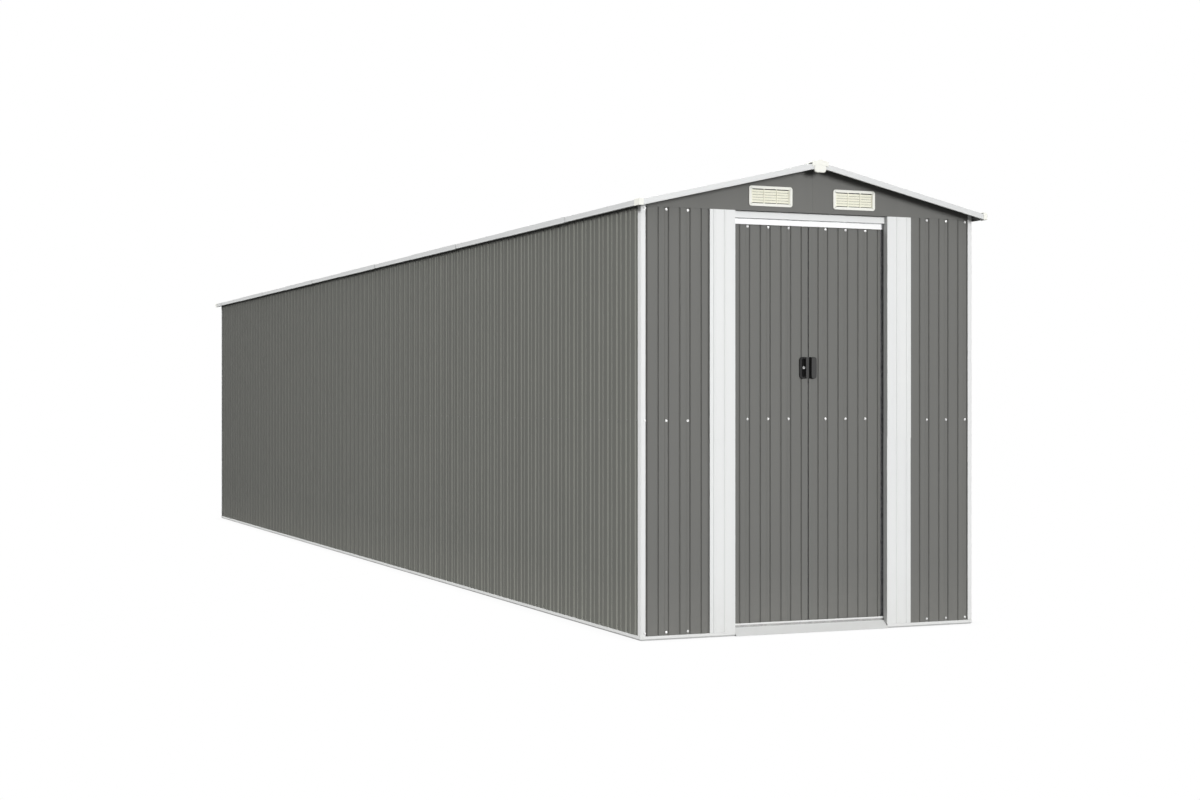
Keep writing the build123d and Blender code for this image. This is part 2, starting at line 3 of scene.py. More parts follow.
import bmesh
import bpy
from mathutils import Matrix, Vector


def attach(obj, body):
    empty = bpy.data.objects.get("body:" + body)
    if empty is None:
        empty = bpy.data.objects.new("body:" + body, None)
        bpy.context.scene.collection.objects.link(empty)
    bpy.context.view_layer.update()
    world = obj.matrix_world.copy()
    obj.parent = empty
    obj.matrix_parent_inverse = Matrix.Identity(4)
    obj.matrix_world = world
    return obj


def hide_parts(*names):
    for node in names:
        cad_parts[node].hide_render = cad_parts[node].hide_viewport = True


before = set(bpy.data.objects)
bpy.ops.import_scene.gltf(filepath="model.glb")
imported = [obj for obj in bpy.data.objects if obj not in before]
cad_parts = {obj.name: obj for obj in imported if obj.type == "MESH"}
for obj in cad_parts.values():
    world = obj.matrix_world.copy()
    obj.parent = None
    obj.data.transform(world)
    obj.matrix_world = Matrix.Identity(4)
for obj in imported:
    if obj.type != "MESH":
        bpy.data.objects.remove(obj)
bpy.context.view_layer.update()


# Base rails: folded strips of white-painted steel that lie on the ground under all four walls.
# Each has a flange on the ground, a turned-in foot, a white face, a ledge and a leg behind the wall sheets.
# They are mitred at the corners, and the front one stops at the doorway.
def plug(tree, node, inputs):
    """Link or set inputs of a shader node."""
    for key, value in inputs.items():
        if isinstance(value, bpy.types.NodeSocket):
            tree.links.new(value, node.inputs[key])
        else:
            node.inputs[key].default_value = value


def shader_node(tree, kind, inputs=None, **settings):
    """Add a shader node, with its settings and its inputs."""
    made = tree.nodes.new(kind)
    for key, value in settings.items():
        setattr(made, key, value)
    plug(tree, made, inputs or {})
    return made


def new_material(name):
    """A new material: itself, its node tree, its shader and the place of a point on the piece."""
    material = bpy.data.materials.new(name)
    material.use_nodes = True
    tree = material.node_tree
    place = shader_node(tree, "ShaderNodeTexCoord").outputs["Object"]
    return material, tree, tree.nodes["Principled BSDF"], place


def noise(tree, place, scale, detail, roughness=0.5):
    """Cloudy noise at a place, as a value."""
    return shader_node(tree, "ShaderNodeTexNoise", {"Vector": place, "Scale": scale, "Detail": detail,
                                                    "Roughness": roughness}).outputs["Fac"]


def blend(tree, factor, first, second):
    """A colour between two colours, by a factor."""
    return shader_node(tree, "ShaderNodeMix", {"Factor": factor, 6: first, 7: second}, data_type="RGBA").outputs[2]


def ranged(tree, value, source=(0.0, 1.0), target=(0.0, 1.0)):
    """A value carried over from one range to another, and held at its ends."""
    ends = dict(zip(("From Min", "From Max", "To Min", "To Max"), (*source, *target)))
    return shader_node(tree, "ShaderNodeMapRange", {"Value": value, **ends}).outputs["Result"]


def painted_steel(name, light, dark, dust, roughness, shine=0.5):
    """Baked paint on thin steel: faint streaks down the sheet, soft waves, dust near the ground."""
    material, tree, paint, place = new_material(name)
    tall = shader_node(tree, "ShaderNodeMapping", {"Vector": place, "Scale": (9.0, 9.0, 0.4)})
    streaks = noise(tree, tall.outputs["Vector"], scale=1.6, detail=5.0, roughness=0.6)
    cloud = noise(tree, place, scale=3.5, detail=4.0)
    both = shader_node(tree, "ShaderNodeMath", {0: streaks, 1: cloud, 2: 0.12}, operation="MULTIPLY_ADD")
    tone = ranged(tree, both.outputs[0], source=(0.2, 0.62))
    coat_colour = blend(tree, tone, (*dark, 1), (*light, 1))
    height = shader_node(tree, "ShaderNodeSeparateXYZ", {0: place}).outputs["Z"]
    splash = ranged(tree, height, source=(0.0, 0.3), target=(0.5, 0.0))
    speckle = noise(tree, place, scale=28.0, detail=6.0)
    dusty = shader_node(tree, "ShaderNodeMath", {0: splash, 1: speckle}, operation="MULTIPLY")
    colour = blend(tree, dusty.outputs[0], coat_colour, (*dust, 1))
    gloss = ranged(tree, cloud, target=(roughness - 0.06, roughness + 0.1))
    waves = noise(tree, place, scale=7.0, detail=1.0)
    peel = noise(tree, place, scale=700.0, detail=2.0)
    soft = shader_node(tree, "ShaderNodeBump", {"Height": waves, "Strength": 0.12, "Distance": 0.01})
    fine = shader_node(tree, "ShaderNodeBump", {"Height": peel, "Strength": 0.06, "Distance": 0.0006,
                                                "Normal": soft.outputs["Normal"]})
    plug(tree, paint, {"Base Color": colour, "Roughness": gloss, "Normal": fine.outputs["Normal"],
                       "Specular IOR Level": shine})
    return material


def take_up(piece):
    """Select one piece alone and make it the active one."""
    bpy.ops.object.select_all(action="DESELECT")
    piece.select_set(True)
    bpy.context.view_layer.objects.active = piece


def start_edit():
    """Open the active piece for editing, with all of it selected."""
    bpy.ops.object.mode_set(mode="EDIT")
    bpy.ops.mesh.select_all(action="SELECT")


def end_edit():
    """Close the piece that is open for editing."""
    bpy.ops.object.mode_set(mode="OBJECT")


def draw_out(way):
    """Extrude what is selected."""
    bpy.ops.mesh.extrude_region_move(TRANSFORM_OT_translate={"value": way})


def fold(name, section, run, shows):
    """Sheet metal bent up flange by flange: an edge as long as the run, drawn out through the section.
    The first flange's good side looks the way that shows says."""
    bpy.ops.object.select_all(action="DESELECT")
    bpy.ops.mesh.primitive_plane_add()
    strip = bpy.context.object
    strip.name = name
    start_edit()
    bpy.ops.mesh.select_mode(type="VERT")
    bpy.ops.mesh.merge(type="CENTER")
    bpy.ops.transform.translate(value=section[0])
    draw_out(run)
    bpy.ops.mesh.select_all(action="SELECT")
    for here, there in zip(section, section[1:]):
        draw_out(there - here)
    end_edit()
    middle = (section[0] + section[1] + run) / 2
    first_flange = min(strip.data.polygons, key=lambda face: (face.center - middle).length)
    if first_flange.normal.dot(shows) < 0:
        start_edit()
        bpy.ops.mesh.flip_normals()
        end_edit()
    return strip


def use_modifier(piece, kind, **settings):
    """Add one modifier to a piece and apply it."""
    bpy.context.view_layer.objects.active = piece
    modifier = piece.modifiers.new(kind.title(), kind)
    for key, value in settings.items():
        setattr(modifier, key, value)
    bpy.ops.object.modifier_apply(modifier=modifier.name)


def soften(piece, width, angle, segments=2):
    """Round the edges of a piece that turn by more than an angle."""
    use_modifier(piece, "BEVEL", width=width, segments=segments, limit_method="ANGLE", angle_limit=angle)


def thicken(piece, thickness):
    """Give a bare surface its thickness, inwards from the good side."""
    use_modifier(piece, "SOLIDIFY", thickness=thickness, offset=-1, use_even_offset=True)


def press(strip, bend, thickness):
    """Round the folds of a strip and give it its thickness."""
    soften(strip, bend, FOLD_ANGLE)
    thicken(strip, thickness)
    smooth(strip)


def smooth(piece):
    """Shade round folds as round and leave sharp edges sharp."""
    take_up(piece)
    bpy.ops.object.shade_smooth_by_angle(angle=SMOOTH_ANGLE)


def cut_off(piece, point, normal):
    """Cut a piece by a plane and take away what lies beyond it."""
    bpy.context.view_layer.objects.active = piece
    start_edit()
    bpy.ops.mesh.bisect(plane_co=point, plane_no=normal, use_fill=True, clear_outer=True)
    end_edit()


def mirrored(piece, name, scale):
    """A copy of a piece with its own mesh, mirrored about the middle of the shed."""
    take_up(piece)
    bpy.ops.object.duplicate()
    twin = bpy.context.object
    twin.name = name
    start_edit()
    bpy.ops.transform.resize(value=scale, center_override=(0, 0, 0))
    if scale[0] * scale[1] * scale[2] < 0:
        bpy.ops.mesh.flip_normals()
    end_edit()
    return twin


def joined(name, pieces):
    """Make several meshes one piece."""
    bpy.ops.object.select_all(action="DESELECT")
    for piece in pieces:
        piece.select_set(True)
    bpy.context.view_layer.objects.active = pieces[0]
    bpy.ops.object.join()
    pieces[0].name = name
    return pieces[0]


def paired(name, piece, scale):
    """A piece and its mirrored copy as one piece."""
    return joined(name, [piece, mirrored(piece, f"{name}_twin", scale)])


def dress(piece, material, body, slot, *replaced):
    """Give a finished piece its material, the body that carries it and the nodes it stands for."""
    use_modifier(piece, "WEIGHTED_NORMAL", keep_sharp=True)
    piece.data.materials.clear()
    piece.data.materials.append(material)
    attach(piece, body)
    if replaced:
        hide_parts(*replaced)


UP = Vector((0, 0, 1))
FRONT = Vector((0, -1, 0))
BACK = Vector((0, 1, 0))
RIGHT = Vector((1, 0, 0))
LEFT = Vector((-1, 0, 0))
MIRROR_ACROSS = (-1, 1, 1)
MIRROR_ALONG = (1, -1, 1)
TURN_ROUND = (-1, -1, 1)
FOLD_ANGLE = math.radians(10)
SMOOTH_ANGLE = math.radians(35)
half_length = 4.895
half_width = 0.890
doorway_half = 0.408
trim_steel = 0.0012
rail_bend = 0.0006
rail_gap = 0.0015
rail_outline = [(-0.033, 0.0), (-0.006, 0.0), (0.0, 0.0065), (0.0, 0.0197), (-0.0086, 0.0197), (-0.0086, 0.055)]
white_paint = painted_steel("white_paint", (0.77, 0.78, 0.77), (0.73, 0.74, 0.74), (0.66, 0.65, 0.62), 0.42)


def base_rail(name, outward, distance, reach, length):
    """A rail along a wall, drawn from its far left corner, mitred where it meets the next rail."""
    along = outward.cross(UP)
    corner = outward * distance - along * reach
    rail = fold(name, [corner + outward * u + UP * v for u, v in rail_outline], along * length, -UP)
    press(rail, rail_bend, trim_steel)
    cut_off(rail, corner, -along - outward)
    if length > reach:
        cut_off(rail, corner + along * (2 * reach), along - outward)
    return rail


right_rail = base_rail("ground_rail_right", RIGHT, half_width, half_length, 2 * half_length)
back_rail = base_rail("ground_rail_back", BACK, half_length, half_width, 2 * half_width)
front_rail = base_rail("ground_rail_front", FRONT, half_length, half_width, half_width - doorway_half - rail_gap)
left_rail = mirrored(right_rail, "ground_rail_left", MIRROR_ACROSS)
front_rail = paired("ground_rail_front", front_rail, MIRROR_ACROSS)
for rail, side in ((right_rail, "right"), (left_rail, "left"), (back_rail, "back"), (front_rail, "front")):
    dress(rail, white_paint, "shell", "white_paint", f"base_rail_{side}")


# Corner posts: white-painted steel angles that stand on the base rails and cover the sheet ends.
# The arris is rolled, and both free edges are turned in as a hem.
# Screws hold them to the rails behind the sheets.
post_front_leg = 0.025
post_side_leg = 0.032
post_bottom = 0.020
post_top = 2.0103
post_steel = 0.0008
post_bend = 0.0008
arris = 0.004
hem_run = 0.004
hem_depth = 0.0025
hem_turn = 0.0012
hem_nose = 0.0004
post_outline = [(-post_front_leg + hem_run, hem_depth), (-post_front_leg, hem_nose), (-post_front_leg + hem_turn, 0.0),
                (-arris, 0.0), (0.0, arris), (0.0, post_side_leg - hem_turn), (-hem_nose, post_side_leg),
                (-hem_depth, post_side_leg - hem_run)]
post_section = [Vector((half_width + u, v - half_length, post_bottom)) for u, v in post_outline]
post = fold("post_front_right", post_section, UP * (post_top - post_bottom), BACK)
press(post, post_bend, post_steel)
for name, scale in (("front_left", MIRROR_ACROSS), ("back_right", MIRROR_ALONG), ("back_left", TURN_ROUND)):
    dress(mirrored(post, f"post_{name}", scale), white_paint, "shell", "white_paint", f"corner_post_{name}")
dress(post, white_paint, "shell", "white_paint", "corner_post_front_right")


# Wall sheets: grey-painted steel with upright grooves, in turn a wide one and a narrow one.
# The panels are eight pitches wide, and each laps over the edge of the next.
# Their feet stand in the base rails, and screws in the wide grooves hold them to the rails inside.
sheet_steel = 0.0008
sheet_bend = 0.0016
groove_pitch = 0.109
panel_grooves = 8
panel_module = panel_grooves * groove_pitch
side_panels = 11
back_panels = 2
lap_rise = 0.0010
lap_under = 0.010
wall_lap = (0.011, 0.009, 0.013)
wide_groove = (0.024, 0.0155, -0.006)
narrow_groove = (0.0095, 0.003, -0.0052)
first_groove = 0.37 * groove_pitch
narrow_step = 0.41 * groove_pitch
turned_step = groove_pitch - narrow_step
sheet_bottom = 0.020
sheet_inset = 0.010
side_sheet_top = 2.0106
end_sheet_top = 1.990
sheet_face = 0.0015
front_end = 0.364
front_right_first = 0.146
front_left_first = 0.132
grey_paint = painted_steel("grey_paint", (0.170, 0.1705, 0.1610), (0.155, 0.1555, 0.1470),
                           (0.235, 0.230, 0.210), 0.58, 0.22)


def rib(centre, shape):
    """Outline of one pressed rib: its two feet and the edges of its crest. A groove has its rise below zero."""
    foot, crest, rise = shape
    return [(centre - foot / 2, 0.0), (centre - crest / 2, rise), (centre + crest / 2, rise), (centre + foot / 2, 0.0)]


def lapped_edge(end, lap):
    """Outline of a panel's last edge: where it leaves the sheet, where it is up, and its end past the joint."""
    foot, crest, past = lap
    return [(end - foot, 0.0), (end - crest, lap_rise), (end + past, lap_rise)]


def wall_grooves(start, end, first, step):
    """Grooves that fit between two places along a sheet, on the pitch through the first."""
    grooves = []
    place = first - math.ceil((first - start) / groove_pitch + 1) * groove_pitch
    while place < end:
        grooves += [(place, wide_groove), (place + step, narrow_groove)]
        place += groove_pitch
    return [(place, shape) for place, shape in grooves if start + shape[0] / 2 < place < end - shape[0] / 2]


def wall_sheet(name, corner, along, shows, start, end, height, first, step, lapped=False):
    """One grooved panel from start to end along a wall, its last edge lapped over the next panel if asked."""
    outline = [(start, 0.0)]
    for place, shape in wall_grooves(start, end, first, step):
        outline += rib(place, shape)
    outline += lapped_edge(end, wall_lap) if lapped else [(end, 0.0)]
    section = [corner + along * u + shows * v for u, v in outline]
    sheet = fold(name, section, UP * height, shows)
    press(sheet, sheet_bend, sheet_steel)
    return sheet


def repeat(piece, count, step):
    """Repeat a piece at even steps, as one mesh."""
    use_modifier(piece, "ARRAY", count=count, use_relative_offset=False, use_constant_offset=True,
                 constant_offset_displace=step)


def panelled_wall(name, outward, distance, length, panels, top):
    """A wall of lapped panels: the first, the middle ones as one panel repeated, and the last."""
    along = outward.cross(UP)
    margin = (length - panels * panel_module) / 2
    corner = outward * (distance - sheet_face) - along * (length / 2) + UP * sheet_bottom
    joints = [margin + count * panel_module for count in range(panels + 1)]
    spans = [(sheet_inset, joints[1])]
    if panels > 2:
        spans.append((joints[1] - lap_under, joints[2]))
    spans.append((joints[-2] - lap_under, length - sheet_inset))
    sheets = []
    for count, (start, end) in enumerate(spans):
        last = count == len(spans) - 1
        sheet = wall_sheet(name, corner, along, outward, start, end, top - sheet_bottom,
                           margin + first_groove, narrow_step, lapped=not last)
        if panels > 2 and count == 1:
            repeat(sheet, panels - 2, along * panel_module)
        sheets.append(sheet)
    return joined(name, sheets)


def front_sheet(name, first, step):
    """The narrow sheet beside the right-hand jamb, from under the corner post to under the jamb."""
    corner = RIGHT * half_width + FRONT * (half_length - sheet_face) + UP * sheet_bottom
    return wall_sheet(name, corner, LEFT, FRONT, sheet_inset, front_end, end_sheet_top - sheet_bottom, first, step)


def swapped(piece, name):
    """The mirrored copy of a piece, on the other side of the shed, in place of the piece itself."""
    twin = mirrored(piece, name, MIRROR_ACROSS)
    bpy.data.objects.remove(piece)
    return twin


right_sheets = panelled_wall("sheets_right", RIGHT, half_width, 2 * half_length, side_panels, side_sheet_top)
left_sheets = mirrored(right_sheets, "sheets_left", MIRROR_ACROSS)
back_sheets = panelled_wall("sheets_back", BACK, half_length, 2 * half_width, back_panels, end_sheet_top)
front_right = front_sheet("sheets_front_right", front_right_first, narrow_step)
front_left = swapped(front_sheet("front_twin", front_left_first, turned_step), "sheets_front_left")
for sheets, wall in ((right_sheets, "right_wall"), (left_sheets, "left_wall"), (back_sheets, "back_wall"),
                     (front_right, "front_wall_right"), (front_left, "front_wall_left")):
    dress(sheets, grey_paint, "shell", "grey_paint", wall)


# Rails, tracks and roof frame: hot-dip galvanised steel, with the flowered grain of the zinc.
# The rails lie behind the wall sheets at mid height and at the top, and take the screws.
# The door tracks, door frames, ridge beam and roof trusses are of the same steel.
def zinc_coat(name, light, dark):
    """Galvanised steel: flat crystals of slightly different tone and gloss."""
    material, tree, metal, place = new_material(name)
    flowers = shader_node(tree, "ShaderNodeTexVoronoi", {"Vector": place, "Scale": 70.0})
    grain = shader_node(tree, "ShaderNodeSeparateColor", {0: flowers.outputs["Color"]})
    tone = blend(tree, grain.outputs[0], (*dark, 1), (*light, 1))
    gloss = ranged(tree, grain.outputs[1], target=(0.36, 0.58))
    scuffs = noise(tree, place, scale=240.0, detail=3.0)
    bump = shader_node(tree, "ShaderNodeBump", {"Height": scuffs, "Strength": 0.08, "Distance": 0.001})
    plug(tree, metal, {"Base Color": tone, "Roughness": gloss, "Normal": bump.outputs["Normal"], "Metallic": 0.8})
    return material


def coat(material, *names):
    """Give pieces that stay as the CAD made them their material."""
    for name in names:
        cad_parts[name].material_slots[0].material = material


galvanised = zinc_coat("galvanised_steel", (0.56, 0.57, 0.58), (0.42, 0.43, 0.45))
coat(galvanised, "mid_rails_sides", "mid_rails_ends", "top_rails_sides", "top_rails_ends", "door_top_track",
     "door_bottom_track", "ridge_beam", "roof_trusses", "left_door_frame", "right_door_frame")


# Door jambs: white-painted facings beside the doorway, each an upper length lapped over a lower one.
# Two low ribs are pressed into the face, and the inner edge is returned towards the doors.
# They are held from behind, through the wall sheets.
jamb_width = 0.132
jamb_return = 0.0345
jamb_hem = 0.003
jamb_seam = 0.930
jamb_lap = 0.014
jamb_proud = 0.0013
jamb_top = 1.98377
jamb_rib = (0.012, 0.004, 0.002)
jamb_rib_shares = (0.17, 0.59)
jamb_steel = 0.001
jamb_bend = 0.0009
jamb_outer = doorway_half + jamb_width


def jamb_length(name, bottom, top, proud):
    """One length of the right-hand facing, from the outer edge round to its return."""
    outline = [(0.0, -jamb_hem), (0.0, 0.0)]
    for share in jamb_rib_shares:
        outline += rib(share * jamb_width, jamb_rib)
    outline += [(jamb_width, 0.0), (jamb_width, -jamb_return - proud)]
    corner = RIGHT * (jamb_outer + proud / 2) + FRONT * (half_length + proud) + UP * bottom
    section = [corner + LEFT * u + FRONT * v for u, v in outline]
    facing = fold(name, section, UP * (top - bottom), RIGHT)
    press(facing, jamb_bend, jamb_steel)
    return facing


jamb = joined("jamb_right", [jamb_length("jamb_lower", sheet_bottom, jamb_seam, 0.0),
                             jamb_length("jamb_upper", jamb_seam - jamb_lap, jamb_top, jamb_proud)])
dress(mirrored(jamb, "jamb_left", MIRROR_ACROSS), white_paint, "shell", "white_paint", "door_jamb_left")
dress(jamb, white_paint, "shell", "white_paint", "door_jamb_right")


# Door header: a white channel over the doorway, set back, with a lip below it that hides the door tops.
# Both are folded from painted steel; the lip has a beaded edge, and is painted a brighter white as a painted highlight.
# A narrow gap parts the channel from the lip.
def across_doorway(name, half, outline, shows):
    """A strip folded through an outline of depths behind the wall face and heights."""
    section = [Vector((-half, depth - half_length, height)) for depth, height in outline]
    strip = fold(name, section, RIGHT * (2 * half), shows)
    press(strip, strip_bend, trim_steel)
    return strip


seat_gap = 0.0003
strip_bend = 0.0008
strip_half = doorway_half - seat_gap
lip_half = 0.395
header_outline = [(0.0340, 1.9834), (0.0200, 1.9834), (0.0200, 1.9515), (0.0340, 1.9515)]
lip_outline = [(0.0348, 1.9482), (0.0348, 1.9262), (0.0340, 1.9253), (0.0340, 1.9238), (0.0346, 1.9231)]
# The lip's paint is lighter than the channel's: a painted highlight for the light it catches.
painted_highlight_paint = painted_steel("painted_highlight_paint", (0.93, 0.93, 0.93), (0.90, 0.90, 0.90), (0.80, 0.79, 0.77), 0.35)
header_strip = across_doorway("header_channel", strip_half, header_outline, UP)
header_lip = across_doorway("header_lip", lip_half, lip_outline, FRONT)
dress(header_strip, white_paint, "shell", "white_paint", "door_header")
dress(header_lip, painted_highlight_paint, "shell", "white_paint", "door_header")


# Door sill: a white ramp folded from painted steel on the ground across the doorway.
# Above it a narrow lip stands before the door bottoms, and the galvanised upstand behind shows in the gap, its zinc
# painted darker as painted shade in the gap.
ramp_outline = [(-0.0110, 0.0010), (0.0280, 0.0366), (0.0300, 0.0366), (0.0300, 0.0340)]
upstand_outline = [(0.0316, 0.0330), (0.0316, 0.0500)]
sill_lip_outline = [(0.0300, 0.0470), (0.0300, 0.0540), (0.0357, 0.0540), (0.0357, 0.0490)]
ramp = across_doorway("sill_ramp", strip_half, ramp_outline, FRONT)
sill_lip = across_doorway("sill_lip", strip_half, sill_lip_outline, FRONT)
upstand = across_doorway("sill_upstand", strip_half, upstand_outline, FRONT)
dress(joined("threshold", [ramp, sill_lip]), white_paint, "shell", "white_paint", "door_sill")
# A darker copy of the zinc: painted shade, for the gap behind the sill lip and for the screws of the long sides.
painted_shade_zinc = zinc_coat("painted_shade_zinc", (0.30, 0.30, 0.29), (0.24, 0.24, 0.24))
dress(upstand, painted_shade_zinc, "shell", "bare_steel", "door_sill")


# Gables: flat grey-painted sheets in two halves above the walls, front and back.
# They lap behind the verge trims, and each half is cut out for a vent.
coat(grey_paint, "gable_front", "gable_back")


# Gable vents: cream mouldings with a rounded flange on the gable and sloping slats in three columns.
# They are pushed through the cut-out from outside and held by the flange. The slats are a lighter cream than the frame:
# painted light in the shaded opening.
def plastic(name, light, dark, roughness, grain, shine=0.5):
    """Moulded plastic with a fine spark-eroded grain and slightly uneven tone."""
    material, tree, resin, place = new_material(name)
    cloud = noise(tree, place, scale=22.0, detail=4.0)
    tone = blend(tree, cloud, (*dark, 1), (*light, 1))
    gloss = ranged(tree, cloud, target=(roughness - 0.05, roughness + 0.08))
    spark = noise(tree, place, scale=900.0, detail=2.0)
    bump = shader_node(tree, "ShaderNodeBump", {"Height": spark, "Strength": grain, "Distance": 0.0005})
    plug(tree, resin, {"Base Color": tone, "Roughness": gloss, "Normal": bump.outputs["Normal"],
                       "Specular IOR Level": shine})
    return material


def block(name, low, high):
    """A box between two corners, left in edit mode with all of it selected."""
    low, high = Vector(low), Vector(high)
    bpy.ops.object.select_all(action="DESELECT")
    bpy.ops.mesh.primitive_cube_add(size=1)
    piece = bpy.context.object
    piece.name = name
    start_edit()
    bpy.ops.transform.resize(value=high - low, center_override=(0, 0, 0))
    bpy.ops.transform.translate(value=(low + high) / 2)
    return piece


def pick_faces(piece, wanted):
    """Select the faces of a piece in edit mode by their middle and normal."""
    bpy.ops.mesh.select_mode(type="FACE")
    bpy.ops.mesh.select_all(action="DESELECT")
    mesh = bmesh.from_edit_mesh(piece.data)
    for face in mesh.faces:
        face.select_set(wanted(face.calc_center_median(), face.normal))
    bmesh.update_edit_mesh(piece.data)


def pick_edges(piece, wanted):
    """Select the edges of a piece in edit mode by their middle and direction."""
    bpy.ops.mesh.select_mode(type="EDGE")
    bpy.ops.mesh.select_all(action="DESELECT")
    mesh = bmesh.from_edit_mesh(piece.data)
    for edge in mesh.edges:
        ends = [vertex.co for vertex in edge.verts]
        edge.select_set(wanted((ends[0] + ends[1]) / 2, (ends[1] - ends[0]).normalized()))
    bmesh.update_edit_mesh(piece.data)


def round_edges(piece, wanted, radius, segments):
    """Round the wanted edges of a piece in edit mode."""
    pick_edges(piece, wanted)
    bpy.ops.mesh.bevel(offset=radius, segments=segments, affect="EDGES")


def front_to_back(middle, way):
    """Pick edges that run, or faces that look, from front to back."""
    return abs(way.y) > ALIGNED


ALIGNED = 0.9
EDGE_ANGLE = math.radians(40)
vent_middle = Vector((0.224, -half_length, 2.05407))
vent_size = (0.228, 0.094)
vent_corner = 0.012
vent_border = 0.013
vent_rise = 0.0043
vent_edge = 0.0012
vent_slats = 5
slat_spacing = 0.0124
slat_half = 0.0056
slat_half_thick = 0.0009
slat_edge = 0.0007
slat_slope = math.radians(74)
slat_set_back = 0.001
slat_tuck = 0.001
vent_columns = (0.068, 0.36, 0.65, 0.932)
bar_half = 0.0018
bar_front = 0.003
bar_back = 0.005
bar_edge = 0.0012
cream_plastic = plastic("cream_plastic", (0.89, 0.89, 0.83), (0.86, 0.86, 0.79), 0.5, 0.1)
# The slats' plastic is a lighter copy of the cream: painted light, where the opening shades them.
painted_light_slat_plastic = plastic("painted_light_slat_plastic", (0.95, 0.94, 0.80), (0.93, 0.92, 0.77), 0.5, 0.1)


def vent_frame():
    """The flange and sleeve: a block with rounded corners, bored through and softened at the front."""
    half = Vector((vent_size[0] / 2, 0, vent_size[1] / 2))
    piece = block("vent_frame", vent_middle - half + FRONT * vent_rise, vent_middle + half + FRONT * seat_gap)
    round_edges(piece, front_to_back, vent_corner, segments=5)
    pick_faces(piece, front_to_back)
    bpy.ops.mesh.inset(thickness=vent_border)
    pick_faces(piece, lambda middle, normal: front_to_back(middle, normal)
               and (middle - vent_middle).xz.length < vent_border / 2)
    bpy.ops.mesh.bridge_edge_loops()
    end_edit()
    soften(piece, vent_edge, EDGE_ANGLE)
    return piece


def vent_bars():
    """The slats, one sloping blade repeated up the opening, and the bars between and beside the columns."""
    inner = Vector((vent_size[0] / 2 - vent_border + slat_tuck, 0, vent_size[1] / 2 - vent_border))
    low = vent_middle - RIGHT * inner.x - UP * (slat_spacing * (vent_slats - 1) / 2) + BACK * slat_set_back
    blade = block("vent_slat", low + FRONT * slat_half - UP * slat_half_thick,
                  low + RIGHT * (2 * inner.x) + BACK * slat_half + UP * slat_half_thick)
    bpy.ops.transform.rotate(value=slat_slope, orient_axis="X", center_override=low)
    end_edit()
    soften(blade, slat_edge, EDGE_ANGLE)
    repeat(blade, vent_slats, UP * slat_spacing)
    bars = [blade]
    for share in vent_columns:
        middle = vent_middle + RIGHT * ((share - 0.5) * vent_size[0])
        reach = Vector((bar_half, 0, inner.z))
        bar = block("vent_bar", middle - reach + FRONT * bar_front, middle + reach + BACK * bar_back)
        round_edges(bar, lambda middle, way: abs(way.z) > ALIGNED, bar_edge, segments=2)
        end_edit()
        bars.append(bar)
    return joined("vent_bars", bars)


frames = vent_frame()
bars = vent_bars()
frames = paired("vent_frames_front", frames, MIRROR_ACROSS)
bars = paired("vent_slats_front", bars, MIRROR_ACROSS)
smooth(frames)
smooth(bars)
dress(mirrored(frames, "vent_frames_back", MIRROR_ALONG), cream_plastic, "shell", "cream_plastic", "vents_back")
dress(mirrored(bars, "vent_slats_back", MIRROR_ALONG), painted_light_slat_plastic, "shell", "cream_plastic", "vents_back")
dress(frames, cream_plastic, "shell", "cream_plastic", "vents_front")
dress(bars, painted_light_slat_plastic, "shell", "cream_plastic", "vents_front")


# Roof sheets: the same grey-painted steel as the walls, one panel wide, running from ridge to eave.
# Broad low ribs stiffen each panel, and each panel laps over the edge of the next.
pitch = math.radians(13)
ridge_under = 2.21604
roof_start = 0.006
roof_foot = 0.92517
roof_reach = 4.9685
roof_rib = (0.024, 0.010, 0.006)
roof_rib_shares = (0.25, 0.75)
roof_bend = 0.003
roof_lap = (0.030, 0.027, 0.012)
roof_lap_under = 0.015
down = Vector((math.cos(pitch), 0, -math.sin(pitch)))
square = Vector((math.sin(pitch), 0, math.cos(pitch)))


def roof_under(x):
    """Height of the underside of the roof sheets at a distance from the middle."""
    return ridge_under - math.tan(pitch) * abs(x)


def roof_sheet(name, start, end, left, lapped):
    """One panel of the right slope; left is where its module starts along the shed."""
    outline = [(start, 0.0)]
    for share in roof_rib_shares:
        outline += rib(left + share * panel_module, roof_rib)
    outline += lapped_edge(end, roof_lap) if lapped else [(end, 0.0)]
    corner = Vector((roof_start, 0, roof_under(roof_start))) + square * sheet_steel
    section = [corner + BACK * u + square * v for u, v in outline]
    sheet = fold(name, section, down * ((roof_foot - roof_start) / math.cos(pitch)), square)
    press(sheet, roof_bend, sheet_steel)
    return sheet


first_joint = -side_panels * panel_module / 2
second_joint = first_joint + panel_module
last_joint = -second_joint
near_sheet = roof_sheet("roof_near", -roof_reach, second_joint, first_joint, True)
middle_sheet = roof_sheet("roof_middle", second_joint - roof_lap_under, second_joint + panel_module, second_joint, True)
repeat(middle_sheet, side_panels - 2, BACK * panel_module)
far_sheet = roof_sheet("roof_far", last_joint - roof_lap_under, roof_reach, last_joint, False)
roof_sheets = joined("roof_sheets_right", [near_sheet, middle_sheet, far_sheet])
dress(mirrored(roof_sheets, "roof_sheets_left", MIRROR_ACROSS), grey_paint, "shell", "grey_paint", "roof_left")
dress(roof_sheets, grey_paint, "shell", "grey_paint", "roof_right")


# Ridge: a white folded capping over the joint of the two slopes, turned down along its edges and ends.
# A cream moulded cap closes each end, with a nose that comes down over the meeting of the verge trims.
ridge_half = 0.060
ridge_reach = 4.9447
ridge_hem = 0.0058
ridge_steel = 0.001
ridge_bend = 0.001
cover_rise = roof_rib[2] + sheet_steel + seat_gap + trim_steel
left_down = Vector((-down.x, 0, down.z))


